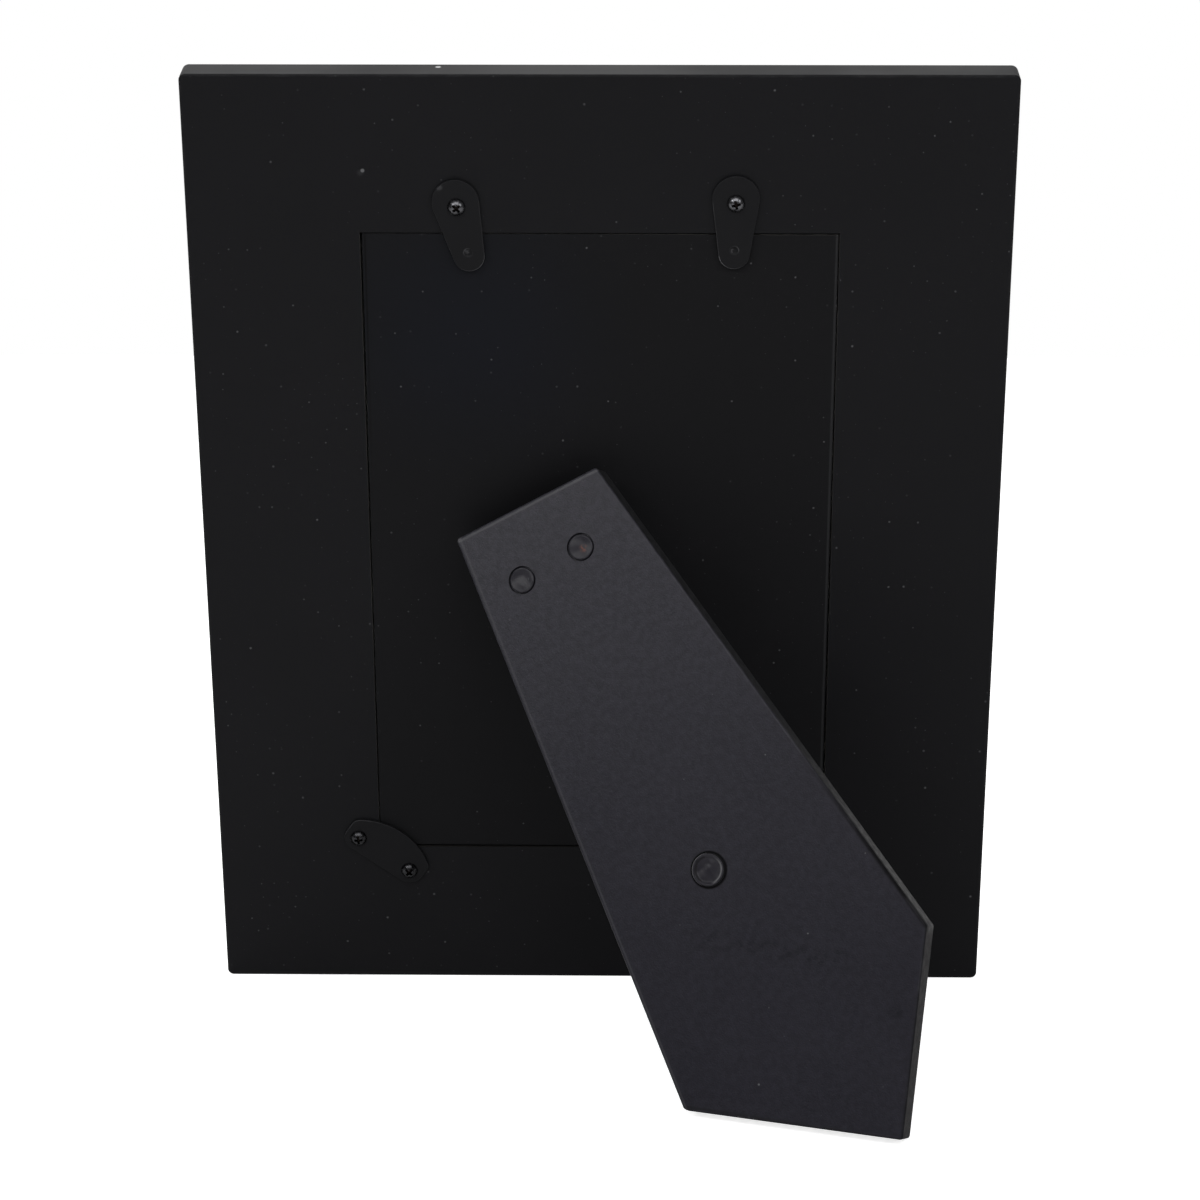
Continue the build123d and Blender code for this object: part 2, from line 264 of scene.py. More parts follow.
noiseMiddle = 0.5
speckEffect = {
    "patchNoise": (25.0, 2.0), "patches": (0.35, 0.7, 0.15, 1.8), "sizePower": 3.0, "leastSize": 0.35,
    "softRim": 0.6, "strength": (0.3, 1.0, 0.09, 0.38),
}
grainEffect = {"cloudNoise": (24.0, 4.0, 0.55), "stippleNoise": (5.0, 0.6), "stippleShare": 0.6}
wearAndHighlightEffect = {"patchNoise": (160.0, 5.0, 0.65), "patches": (0.45, 0.68, 0.1, 1.0)}


def makeSpeckGroup():  # small bright dust, scattered unevenly over a flat face
    effect = speckEffect
    inputs = {"Vector": "Vector", "Cells": "Float", "Share": "Float", "Size": "Float"}
    group, given, result = newGroup("dustSpecks", inputs, {"Mask": "Float"})
    inputs = {"Vector": given["Vector"], "Scale": given["Cells"]}
    cells = addNode(group, "ShaderNodeTexVoronoi", inputs, voronoi_dimensions="2D").outputs
    chance = addNode(group, "ShaderNodeSeparateColor", {0: cells["Color"]}).outputs
    patches = fade(group, noiseAt(group, given["Vector"], *effect["patchNoise"]), *effect["patches"])
    kept = calc(group, "LESS_THAN", chance["Red"], times(group, given["Share"], patches))
    size = times(group, calc(group, "POWER", chance["Green"], effect["sizePower"]), given["Size"])
    radius = calc(group, "ADD", size, times(group, given["Size"], effect["leastSize"]))
    inside = calc(group, "SUBTRACT", radius, cells["Distance"])
    soft = calc(group, "DIVIDE", inside, times(group, radius, effect["softRim"]), clamp=True)
    strength = fade(group, chance["Blue"], *effect["strength"])
    group.links.new(times(group, kept, soft, strength), result["Mask"])
    return group


def makeGrainGroup():  # cloudy paint with a fine stipple
    inputs = {"Vector": "Vector", "Base": "Color", "Clouds": "Float", "Grain": "Float"}
    outputs = {"Color": "Color", "Tone": "Float", "Height": "Float"}
    group, given, result = newGroup("paintGrain", inputs, outputs)
    clouds = noiseAt(group, given["Vector"], *grainEffect["cloudNoise"])
    stipple = noiseAt(group, given["Vector"], given["Grain"], *grainEffect["stippleNoise"])
    swing = times(group, calc(group, "SUBTRACT", clouds, noiseMiddle), given["Clouds"])
    fine = times(group, given["Clouds"], grainEffect["stippleShare"])
    fine = times(group, calc(group, "SUBTRACT", stipple, noiseMiddle), fine)
    level = calc(group, "ADD", calc(group, "ADD", swing, fine), 1.0)
    group.links.new(scaleColor(group, given["Base"], level), result["Color"])
    group.links.new(clouds, result["Tone"])
    group.links.new(stipple, result["Height"])
    return group


def makeWearAndHighlightGroup():  # patchy lightening along the edges that a piece marks: wear, and a painted highlight where the marks follow which way an edge faces
    group, given, result = newGroup("edgeWearAndHighlight", {"Vector": "Vector", "Amount": "Float"}, {"Mask": "Float"})
    patches = noiseAt(group, given["Vector"], *wearAndHighlightEffect["patchNoise"])
    patches = fade(group, patches, *wearAndHighlightEffect["patches"])
    group.links.new(times(group, edgeMarks(group), patches, given["Amount"]), result["Mask"])
    return group


speckGroup = makeSpeckGroup()
grainGroup = makeGrainGroup()
wearAndHighlightGroup = makeWearAndHighlightGroup()


def grainOn(tree, vector, base, finish):
    inputs = {"Vector": vector, "Base": base, "Clouds": finish["clouds"], "Grain": finish["grain"]}
    return useGroup(tree, grainGroup, inputs)


def specksOn(tree, vector, finish):
    cells, share, size = finish["specks"]
    return useGroup(tree, speckGroup, {"Vector": vector, "Cells": cells, "Share": share, "Size": size})["Mask"]


def wearAndHighlightOn(tree, vector, finish):
    return useGroup(tree, wearAndHighlightGroup, {"Vector": vector, "Amount": finish["wearAndHighlight"]})["Mask"]


# Finishes. A bump is distance and strength, and specks are cells per metre, share and size

boardFinish = {
    "color": (0.0050, 0.0050, 0.0058, 1), "gloss": 0.075, "clouds": 0.55, "grain": 2600.0,
    "rough": (0.3, 0.7, 0.46, 0.56), "bump": (0.02 * mm, 0.35),
    "wearAndHighlightColor": (0.012, 0.012, 0.013, 1), "wearAndHighlight": 0.6,
    "dustColor": (0.13, 0.13, 0.135, 1), "specks": (300.0, 0.5, 0.08),
    "smudge": (-52.6 * mm, 208.0 * mm), "smudgeSize": 0.55 * mm, "smudgeShare": 0.6,
    "blot": (-53.1 * mm, 207.5 * mm), "blotSize": 1.1 * mm, "blotSoft": 0.1, "blotShare": 0.08,
    "wallColor": (0.012, 0.0115, 0.011, 1), "litSideWallColor": (0.085, 0.083, 0.080, 1), "wallInset": 20 * mm,
    "chip": (-35.6 * mm, -5.8 * mm), "chipSize": 0.85 * mm, "chipSoft": 0.3, "chipColor": (0.45, 0.45, 0.45, 1),
}


def insideSpan(tree, value, low, high, inset=0.0):  # one between the two ends, less an inset
    return calc(tree, "LESS_THAN", awayFrom(tree, value, (low + high) / 2), (high - low) / 2 - inset)


def pocketWalls(tree, at, flat):  # mask and tone of the bare board in the pocket; the walls within the panel's height are painted lighter, as light falling into the side gaps
    inset = boardFinish["wallInset"]
    across = insideSpan(tree, at["X"], boardLow.x, boardHigh.x, inset)
    along = insideSpan(tree, at["Y"], boardLow.y, boardHigh.y, inset)
    wall = times(tree, across, along, calc(tree, "SUBTRACT", 1.0, flat))
    beside = insideSpan(tree, at["Y"], panelLow.y, panelHigh.y)
    return wall, mixColor(tree, beside, boardFinish["wallColor"], boardFinish["litSideWallColor"])


def makeBoardFinish():  # matt black lacquer on fibreboard
    finish = boardFinish
    material, tree, sockets = newMaterial("blackLacquer", gloss=finish["gloss"])
    vector, at = flatCoords(tree, boardPlace)
    outward, flat = facingMasks(tree, boardPlace)
    grain = grainOn(tree, vector, finish["color"], finish)
    color = mixColor(tree, wearAndHighlightOn(tree, vector, finish), grain["Color"], finish["wearAndHighlightColor"])
    color = mixColor(tree, times(tree, specksOn(tree, vector, finish), outward), color, finish["dustColor"])
    blot = spotAt(tree, at, finish["blot"], finish["blotSize"], finish["blotSoft"])
    smudge = spotAt(tree, at, finish["smudge"], finish["smudgeSize"])
    blot = times(tree, blot, finish["blotShare"])
    smudge = calc(tree, "MAXIMUM", times(tree, smudge, finish["smudgeShare"]), blot)
    color = mixColor(tree, times(tree, smudge, outward), color, finish["dustColor"])
    wall, bare = pocketWalls(tree, at, flat)
    color = mixColor(tree, wall, color, bare)
    onTop = calc(tree, "GREATER_THAN", at["Y"], boardHigh.y - finish["chipSize"])
    fromAbove = {"X": at["X"], "Y": at["Z"]}
    chip = spotAt(tree, fromAbove, finish["chip"], finish["chipSize"], finish["chipSoft"])
    color = mixColor(tree, times(tree, chip, onTop), color, finish["chipColor"])
    connect(tree, sockets, color=color, rough=fade(tree, grain["Tone"], *finish["rough"]),
            normal=bumpFrom(tree, grain["Height"], *finish["bump"]))
    return material


panelFinish = {
    "color": (0.0052, 0.0052, 0.0058, 1), "gloss": 0.065, "clouds": 0.45, "grain": 2000.0,
    "rough": (0.3, 0.7, 0.6, 0.7), "bump": (0.02 * mm, 0.4),
    "wearAndHighlightColor": (0.024, 0.024, 0.025, 1), "wearAndHighlight": 0.6,
    "dustColor": (0.14, 0.14, 0.145, 1), "specks": (300.0, 0.5, 0.075),
    "blue": (0.0050, 0.0055, 0.0075, 1), "bluePlace": (-30 * mm, 170 * mm), "blueSize": 42 * mm,
    "blueSoft": 0.1,
    "highlightColor": (0.021, 0.021, 0.022, 1), "highlightInset": 0.42 * mm, "highlightWidth": 0.34 * mm, "highlightShare": 0.6,
    "lineColor": (0, 0, 0, 1), "lineInset": 0.62 * mm, "lineWidth": 0.26 * mm, "lineSoft": 0.3,
    "lineFall": (120 * mm, 190 * mm, 0.0, 0.75), "sideColor": (0.075, 0.073, 0.070, 1),
}


def besideEdge(tree, at, side, inset, width):  # a line just inside the panel's left (-1) or right (1) edge
    corners = pointsOf("back_panel", boardPlace)
    low = max(corners, key=lambda corner: corner.x * side - corner.y)
    high = max(corners, key=lambda corner: corner.x * side + corner.y)
    slope = (high.x - low.x) / (high.y - low.y)
    edge = calc(tree, "ADD", times(tree, at["Y"], slope), low.x - slope * low.y - side * inset)
    return fade(tree, awayFrom(tree, at["X"], edge), width, width * panelFinish["lineSoft"])


def makePanelFinish():  # black faced fibreboard with a bluish cast in its upper left, and a painted highlight along its right edge
    finish = panelFinish
    material, tree, sockets = newMaterial("blackPanelFace", gloss=finish["gloss"])
    vector, at = flatCoords(tree, boardPlace)
    outward, flat = facingMasks(tree, boardPlace)
    cast = spotAt(tree, at, finish["bluePlace"], finish["blueSize"], finish["blueSoft"])
    grain = grainOn(tree, vector, mixColor(tree, cast, finish["color"], finish["blue"]), finish)
    # painted highlight, in patches, on the rounded edges that face right
    color = mixColor(tree, wearAndHighlightOn(tree, vector, finish), grain["Color"], finish["wearAndHighlightColor"])
    color = mixColor(tree, times(tree, specksOn(tree, vector, finish), outward), color, finish["dustColor"])
    # painted highlight in a line just inside the right edge
    highlight = besideEdge(tree, at, 1, finish["highlightInset"], finish["highlightWidth"])
    color = mixColor(tree, times(tree, highlight, finish["highlightShare"]), color, finish["highlightColor"])
    line = besideEdge(tree, at, -1, finish["lineInset"], finish["lineWidth"])
    line = times(tree, line, fade(tree, at["Y"], *finish["lineFall"]))
    color = mixColor(tree, line, color, finish["lineColor"])  # a dark line just inside the left edge, fading out downwards
    color = mixColor(tree, flat, finish["sideColor"], color)
    connect(tree, sockets, color=color, rough=fade(tree, grain["Tone"], *finish["rough"]),
            normal=bumpFrom(tree, grain["Height"], *finish["bump"]))
    return material


legFinish = {
    "color": (0.0212, 0.0206, 0.0258, 1), "footShadeColor": (0.0106, 0.0101, 0.0144, 1), "fall": 2.3, "gloss": 0.12,
    "clouds": 0.25, "grain": 2600.0, "rough": (0.3, 0.7, 0.33, 0.38), "bump": (0.08 * mm, 0.7),
    "wearAndHighlightColor": (0.05, 0.05, 0.055, 1), "wearAndHighlight": 0.2,
    "dustColor": (0.2, 0.2, 0.2, 1), "specks": (200.0, 0.14, 0.045),
    "mottle": (650.0, 4.0, 0.6), "faceMottle": (0.3, 0.7, 0.84, 1.16), "sideMottle": (0.3, 0.7, 0.6, 1.4),
    "scuffColor": (0.0025, 0.0025, 0.004, 1), "scuffPlace": (6 * mm, -114.5 * mm), "scuffTurn": -35.0,
    "scuffAcross": (3 * mm, 1 * mm), "scuffAlong": (24 * mm, 14 * mm), "scuffNoise": (640.0, 4.0, 0.6),
    "scuffDabs": (0.48, 0.6), "scuffShare": 0.45,
    "mark": (25.4 * mm, -139.8 * mm), "markSize": 2.3 * mm, "markSoft": 0.25, "markNoise": (900.0, 3.0, 0.6),
    "markFlecks": (0.42, 0.56), "markShare": 0.6,
    "ringGap": 0.2 * mm, "ring": (0.5 * mm, 0.1 * mm, 0.0, 0.95), "dullRough": 0.95,
    "sideColor": (0.066, 0.065, 0.066, 1), "sideShade": (0.011, 0.011, 0.012, 1), "sideRough": 0.9,
    "footSideShade": (0.024, 0.023, 0.024, 1), "kneeBlend": 2 * mm, "nearKnee": (-68 * mm, -112 * mm),
    "lipWidth": 1.7 * mm, "lipSoft": 0.6, "lipShare": 0.85, "kneeEdge": 1,
    "highlightLine": (0.058, 0.057, 0.061, 1), "shadeLine": (0.0015, 0.0015, 0.0018, 1), "lineSoft": 0.45,
    "edgeLines": (  # tone, start, end and strength of a line inside each edge, from the upper left, clockwise: a painted highlight along the top and left edges, painted shade along the right and bottom ones
        ("highlightLine", 0.35 * mm, 1.25 * mm, 0.6), ("shadeLine", -1.0 * mm, 1.2 * mm, 1.0),
        ("shadeLine", -1.0 * mm, 0.5 * mm, 0.7), ("shadeLine", -1.0 * mm, 0.6 * mm, 0.5),
        ("highlightLine", 0.2 * mm, 0.9 * mm, 0.3)),
    "paleCorner": 1.3 * mm, "paleCornerSoft": 0.3, "paleCornerShare": 0.6,
}


def legCorners():  # corners of the leg's outline, from the upper left, clockwise as seen from behind
    spots = [point.to_2d() for point in pointsOf("easel_leg", legPlace)]
    pulls = ((-1, 3), (1, 3), (1, 0), (0, -1), (-1, -0.2))  # each corner lies farthest along its own direction
    return [max(spots, key=lambda spot: spot.dot(Vector(pull))) for pull in pulls]


def alongEdge(tree, at, first, second, start, end):  # one between two depths inside an edge
    run = second - first
    out = Vector((-run.y, run.x)).normalized()
    reach = calc(tree, "ADD", times(tree, at["X"], out.x), times(tree, at["Y"], out.y))
    depth = calc(tree, "SUBTRACT", first.dot(out), reach)
    soft = (end - start) * legFinish["lineSoft"]
    return times(tree, fade(tree, depth, start, start + soft), fade(tree, depth, end, end - soft))


def scuffRow(tree, vector):  # dabs along a slanted row above the foot
    finish = legFinish
    turn = (0, 0, math.radians(finish["scuffTurn"]))
    row = splitAxes(tree, mapped(tree, vector, Location=(*finish["scuffPlace"], 0), Rotation=turn))
    across = fade(tree, calc(tree, "ABSOLUTE", row["Y"]), *finish["scuffAcross"])
    along = fade(tree, calc(tree, "ABSOLUTE", row["X"]), *finish["scuffAlong"])
    dabs = fade(tree, noiseAt(tree, vector, *finish["scuffNoise"]), *finish["scuffDabs"])
    return times(tree, across, along, dabs, finish["scuffShare"])


def footMark(tree, vector, at):  # one flecked mark by the foot
    flecks = fade(tree, noiseAt(tree, vector, *legFinish["markNoise"]), *legFinish["markFlecks"])
    mark = spotAt(tree, at, legFinish["mark"], legFinish["markSize"], legFinish["markSoft"])
    return times(tree, mark, flecks, legFinish["markShare"])


def rivetRing(tree, at, outward):  # painted shade in a ring round the stay rivet
    low, high = nodeSpan("stay_rivet_leg", legPlace)
    radius = (high.x - low.x) / 2 + legFinish["ringGap"]
    fromRing = awayFrom(tree, distanceTo(tree, at, (low + high) / 2), radius)
    return times(tree, fade(tree, fromRing, *legFinish["ring"]), outward)


def legSide(tree, at, mottle, nearKnee, kneeHeight):  # cut sides in their own paler tone by the knee, with painted shade towards the top of the leg and below the knee, and a painted shade line along the lip by the knee
    finish = legFinish
    side = mixColor(tree, nearKnee, finish["sideShade"], finish["sideColor"])
    lip = fade(tree, at["Z"], legHigh.z - finish["lipWidth"], legHigh.z - finish["lipWidth"] * finish["lipSoft"])
    side = mixColor(tree, times(tree, lip, nearKnee, finish["lipShare"]), side, finish["shadeLine"])
    aboveKnee = fade(tree, at["Y"], kneeHeight - finish["kneeBlend"], kneeHeight)
    side = mixColor(tree, aboveKnee, finish["footSideShade"], side)
    return scaleColor(tree, side, fade(tree, mottle, *finish["sideMottle"]))


def makeLegFinish():  # dark grey paper over board, scuffed near its foot, and painted darker towards the foot as shade
    finish = legFinish
    material, tree, sockets = newMaterial("darkPaper", gloss=finish["gloss"])
    vector, at = flatCoords(tree, legPlace)
    outward, flat = facingMasks(tree, legPlace)
    # painted shade: the paper's colour darkens towards the foot
    rise = calc(tree, "SUBTRACT", at["Y"], legLow.y)
    height = calc(tree, "DIVIDE", rise, legHigh.y - legLow.y, clamp=True)
    base = mixColor(tree, calc(tree, "POWER", height, finish["fall"]), finish["footShadeColor"], finish["color"])
    grain = grainOn(tree, vector, base, finish)
    mottle = noiseAt(tree, vector, *finish["mottle"])
    color = scaleColor(tree, grain["Color"], fade(tree, mottle, *finish["faceMottle"]))
    color = mixColor(tree, scuffRow(tree, vector), color, finish["scuffColor"])
    color = mixColor(tree, footMark(tree, vector, at), color, finish["scuffColor"])
    dull = rivetRing(tree, at, outward)
    color = mixColor(tree, dull, color, finish["shadeLine"])
    corners = legCorners()
    nearKnee = fade(tree, at["Y"], *finish["nearKnee"])
    # painted highlight and painted shade lines just inside the leg's edges
    for i, (tone, start, end, strength) in enumerate(finish["edgeLines"]):
        line = alongEdge(tree, at, corners[i], corners[(i + 1) % len(corners)], start, end)
        if i == finish["kneeEdge"]:
            line = times(tree, line, nearKnee)
        line = times(tree, line, strength)
        color = mixColor(tree, line, color, finish[tone])
        if tone == "shadeLine":
            dull = calc(tree, "MAXIMUM", dull, line)
    # a paler spot at the upper left corner, in the tone of the painted highlight lines
    paleCorner = spotAt(tree, at, corners[0], finish["paleCorner"], finish["paleCornerSoft"])
    color = mixColor(tree, times(tree, paleCorner, finish["paleCornerShare"]), color, finish["highlightLine"])
    color = mixColor(tree, flat, legSide(tree, at, mottle, nearKnee, corners[2].y), color)
    color = mixColor(tree, wearAndHighlightOn(tree, vector, finish), color, finish["wearAndHighlightColor"])
    color = mixColor(tree, times(tree, specksOn(tree, vector, finish), outward), color, finish["dustColor"])
    rough = mixValue(tree, dull, fade(tree, grain["Tone"], *finish["rough"]), finish["dullRough"])
    connect(tree, sockets, color=color, rough=mixValue(tree, flat, finish["sideRough"], rough),
            normal=bumpFrom(tree, grain["Height"], *finish["bump"]))
    return material


metalFinish = {
    "color": (0.0070, 0.0070, 0.0077, 1), "gloss": 0.05, "clouds": 0.5, "grain": 3000.0,
    "rough": (0.3, 0.7, 0.36, 0.5), "bump": (0.01 * mm, 0.3),
    "wearAndHighlightColor": (0.17, 0.17, 0.178, 1), "wearAndHighlight": 0.9, "evenWearAndHighlight": 0.4,
    "markNoise": (1300.0, 3.0), "markFlecks": (0.4, 0.6), "markSoft": 0.3,
    "marks": (  # place on the board, radius and strength of pale spots on the buttons: a smear on the left head, then a painted glint in each button's dent
        ((-35.7 * mm, 204.5 * mm), 1.2 * mm, 0.13), ((-29.7 * mm, 189.3 * mm), 0.7 * mm, 0.3),
        ((29.9 * mm, 189.6 * mm), 0.7 * mm, 0.3)),
}


def makeMetalFinish():  # thin sheet metal, blackened and rubbed at its edges, with a painted highlight on edges that face one way and painted glints in the button dents
    finish = metalFinish
    material, tree, sockets = newMaterial("blackSheetMetal", gloss=finish["gloss"])
    vector, at = flatCoords(tree, boardPlace)
    grain = grainOn(tree, vector, finish["color"], finish)
    # worn also carries the painted highlight on the edges and the painted glints
    worn = calc(tree, "MAXIMUM", wearAndHighlightOn(tree, vector, finish), times(tree, edgeMarks(tree), finish["evenWearAndHighlight"]))
    flecks = fade(tree, noiseAt(tree, vector, *finish["markNoise"]), *finish["markFlecks"])
    for spot, radius, strength in finish["marks"]:
        mark = times(tree, spotAt(tree, at, spot, radius, finish["markSoft"]), flecks, strength)
        worn = calc(tree, "MAXIMUM", worn, mark)
    color = mixColor(tree, worn, grain["Color"], finish["wearAndHighlightColor"])
    connect(tree, sockets, color=color, rough=fade(tree, grain["Tone"], *finish["rough"]),
            normal=bumpFrom(tree, grain["Height"], *finish["bump"]))
    return material


screwFinish = {
    "worn": (0.085, 0.085, 0.09, 1), "black": (0.028, 0.028, 0.030, 1), "recess": (0.006, 0.0048, 0.0042, 1),
    "clouds": 1.2, "grain": 2500.0, "rough": (0.35, 0.65, 0.2, 0.34), "bump": (0.02 * mm, 0.3),
}


def makeScrewFinish(name, tone):  # blackened steel, worn or still black, with a dark recess
    finish = screwFinish
    material, tree, sockets = newMaterial(name, metal=1.0)
    grain = grainOn(tree, objectCoords(tree)["Object"], finish[tone], finish)
    color = mixColor(tree, edgeMarks(tree), grain["Color"], finish["recess"])
    connect(tree, sockets, color=color, rough=fade(tree, grain["Height"], *finish["rough"]),
            normal=bumpFrom(tree, grain["Height"], *finish["bump"]))
    return material


rivetFinish = {
    "color": (0.0118, 0.0112, 0.0148, 1), "gloss": 0.15, "clouds": 0.8, "grain": 1800.0,
    "rough": (0.3, 0.7, 0.28, 0.38), "bump": (0.03 * mm, 0.4), "wearAndHighlightColor": (0.11, 0.11, 0.115, 1),
    "darkShade": (0.002, 0.002, 0.0022, 1), "shadeRough": 0.9,
    "scratchColor": (0.05, 0.05, 0.053, 1), "scratchNoise": (1100.0, 4.0, 0.7),
    "scratches": (0.6, 0.74, 0.0, 0.6),
    "rust": (0.07, 0.028, 0.021, 1), "rustPlace": (8.4 * mm, -14.0 * mm), "rustSize": 1.3 * mm, "rustSoft": 0.2,
    "rustNoise": (1500.0, 3.0), "rustFlecks": (0.38, 0.55),
}


def makeRivetFinish():  # black painted rivets with scratched heads and one spot of rust, lighter at marked edges, with painted highlight and painted shade on the stay rivets' heads
    finish = rivetFinish
    material, tree, sockets = newMaterial("blackRivet", gloss=finish["gloss"])
    vector, at = flatCoords(tree, legPlace)
    grain = grainOn(tree, vector, finish["color"], finish)
    scratches = fade(tree, noiseAt(tree, vector, *finish["scratchNoise"]), *finish["scratches"])
    color = mixColor(tree, scratches, grain["Color"], finish["scratchColor"])
    flecks = fade(tree, noiseAt(tree, vector, *finish["rustNoise"]), *finish["rustFlecks"])
    rust = times(tree, spotAt(tree, at, finish["rustPlace"], finish["rustSize"], finish["rustSoft"]), flecks)
    color = mixColor(tree, rust, color, finish["rust"])
    marks = edgeMarks(tree)  # lighter above zero (worn edges, and painted highlight on the stay rivets), painted shade below
    color = mixColor(tree, marks, color, finish["wearAndHighlightColor"])
    darkShade = calc(tree, "MULTIPLY", marks, -1.0, clamp=True)
    color = mixColor(tree, darkShade, color, finish["darkShade"])
    rough = mixValue(tree, darkShade, fade(tree, grain["Tone"], *finish["rough"]), finish["shadeRough"])
    connect(tree, sockets, color=color, rough=rough, normal=bumpFrom(tree, grain["Height"], *finish["bump"]))
    return material


strapFinish = {
    "shader": {"gloss": 0.2, "rough": 0.85, "sheen": 0.2, "sheenRough": 0.4},
    "color": (0.012, 0.012, 0.013, 1), "dark": (0.003, 0.003, 0.0035, 1),
    "threads": 22.0, "picks": 150.0, "bump": (0.12 * mm, 0.8),
}


def makeStrapFinish():  # black woven ribbon, read from the ribbon's own UV map
    finish = strapFinish
    material, tree, sockets = newMaterial("blackRibbon", **finish["shader"])
    along = splitAxes(tree, objectCoords(tree)["UV"])
    warp = calc(tree, "SINE", times(tree, along["X"], finish["threads"] * 2 * math.pi))
    weft = calc(tree, "SINE", times(tree, along["Y"], finish["picks"] * math.pi))
    weave = fade(tree, times(tree, warp, weft), -1.0, 1.0)
    connect(tree, sockets, color=mixColor(tree, weave, finish["dark"], finish["color"]),
            normal=bumpFrom(tree, weave, *finish["bump"]))
    return material


cardFinish = {
    "shader": {"rough": 0.8, "gloss": 0.3}, "color": (0.78, 0.77, 0.74, 1), "clouds": 0.06, "grain": 1800.0,
    "bump": (0.02 * mm, 0.3),
}


def makeCardFinish():  # plain pale card with a faint fibre
    material, tree, sockets = newMaterial("plainCard", **cardFinish["shader"])
    grain = grainOn(tree, objectCoords(tree)["Object"], cardFinish["color"], cardFinish)
    connect(tree, sockets, color=grain["Color"], normal=bumpFrom(tree, grain["Height"], *cardFinish["bump"]))
    return material


glassFinish = {"color": (0.96, 0.985, 0.975, 1), "rough": 0.02, "clear": 1.0, "ior": 1.5}

boardMaterial = makeBoardFinish()
panelMaterial = makePanelFinish()
legMaterial = makeLegFinish()
metalMaterial = makeMetalFinish()
wornScrewMaterial = makeScrewFinish("wornScrewSteel", "worn")
blackScrewMaterial = makeScrewFinish("blackScrewSteel", "black")
rivetMaterial = makeRivetFinish()
strapMaterial = makeStrapFinish()
glassMaterial = newMaterial("clearPane", **glassFinish)[0]
cardMaterial = makeCardFinish()
print("finishes made")


# Pieces

edgeLook = {  # angles in degrees
    "sharpFrom": 35.0, "flatWithin": 0.4, "smoothWithin": 50.0, "mergeWithin": 0.002 * mm,
    "spinMergeWithin": 0.0005 * mm, "fineSteps": 2, "wideSteps": 4, "leastHighlight": 0.06, "highlightGain": 1.8,
}


def addPiece(bm, pieceName, material, nodeName, smooth=True):
    mesh = bpy.data.meshes.new(pieceName)
    bm.to_mesh(mesh)
    bm.free()
    mesh.materials.append(material)
    piece = bpy.data.objects.new(pieceName, mesh)
    bpy.context.scene.collection.objects.link(piece)
    if "custom_normal" in mesh.attributes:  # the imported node's own normals no longer fit
        mesh.attributes.remove(mesh.attributes["custom_normal"])
    if smooth:
        mesh.set_sharp_from_angle(angle=math.radians(edgeLook["smoothWithin"]))
        weighted = piece.modifiers.new("evenNormals", "WEIGHTED_NORMAL")
        weighted.keep_sharp = True
    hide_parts(nodeName)
    return piece


def rideOn(piece, nodeName):
    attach(piece, nodes[nodeName]["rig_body"])


def sharpEdges(bm):
    turn = math.radians(edgeLook["sharpFrom"])
    return [edge for edge in bm.edges if edge.is_manifold and edge.is_convex and edge.calc_face_angle() > turn]


def roundEdges(bm, edges, width, steps):  # rounds edges and marks the new faces for edge wear and painted highlight
    marks = bm.faces.layers.float["edge"]
    made = bmesh.ops.bevel(bm, geom=edges, offset=width, offset_type="OFFSET", affect="EDGES", segments=steps,
                           profile=0.5, material=-1, clamp_overlap=True)
    for face in made["faces"]:
        face[marks] = 1.0


def mergedCopy(nodeName):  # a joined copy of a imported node, with flat faces made whole
    bm = bmesh.new()
    bm.from_mesh(nodes[nodeName].data)
    bm.faces.layers.float.new("edge")
    bmesh.ops.remove_doubles(bm, verts=bm.verts, dist=edgeLook["mergeWithin"])
    flat = math.radians(edgeLook["flatWithin"])
    bmesh.ops.dissolve_limit(bm, angle_limit=flat, verts=bm.verts, edges=bm.edges)
    return bm


def highlightEdges(bm, direction, towards):  # scales the edge marks by which way each rounded face looks, and by nearness to one end if it is given: a painted highlight on one side, with a little left on the others
    marks = bm.faces.layers.float["edge"]
    if towards:
        reaches = [vertex.co.dot(towards) for vertex in bm.verts]
        near, far = max(reaches), min(reaches)
    for face in bm.faces:
        if face[marks] > 0:
            share = (face.calc_center_median().dot(towards) - far) / (near - far) if towards else 1.0
            highlight = edgeLook["highlightGain"] * share * share * face.normal.dot(direction)
            face[marks] = min(1.0, max(edgeLook["leastHighlight"], highlight))


def softCopy(nodeName, pieceName, material, width, highlightFacing=None, towards=None):
    bm = mergedCopy(nodeName)
    roundEdges(bm, sharpEdges(bm), width, edgeLook["fineSteps"])
    if highlightFacing:
        highlightEdges(bm, highlightFacing, towards)
    rideOn(addPiece(bm, pieceName, material, nodeName), nodeName)


def spunShape(profile, sides):  # a turned shape from (radius, height) points, top first
    bm = bmesh.new()
    bm.faces.layers.float.new("edge")
    points = [bm.verts.new((radius, 0, height)) for radius, height in profile]
    lines = [bm.edges.new(pair) for pair in zip(points, points[1:])]
    bmesh.ops.spin(bm, geom=points + lines, cent=(0, 0, 0), axis=(0, 0, 1), angle=2 * math.pi, steps=sides,
                   use_merge=True, use_duplicate=False)
    bmesh.ops.remove_doubles(bm, verts=bm.verts, dist=edgeLook["spinMergeWithin"])
    bmesh.ops.recalc_face_normals(bm, faces=bm.faces)
    for face in bm.faces:
        face.smooth = True
    return bm


def capProfile(radius, height, top, steps):  # points of a round cap from its crown to its rim
    ball = (radius ** 2 + height ** 2) / (2 * height)
    rings = [radius * step / steps for step in range(steps + 1)]
    return [(ring, top - ball + math.sqrt(ball ** 2 - ring ** 2)) for ring in rings]


def joinShapes(shapes):
    joined = shapes[0]
    for extra in shapes[1:]:
        mesh = bpy.data.meshes.new("joining")
        extra.to_mesh(mesh)
        extra.free()
        joined.from_mesh(mesh)
        bpy.data.meshes.remove(mesh)
    return joined


# Boards

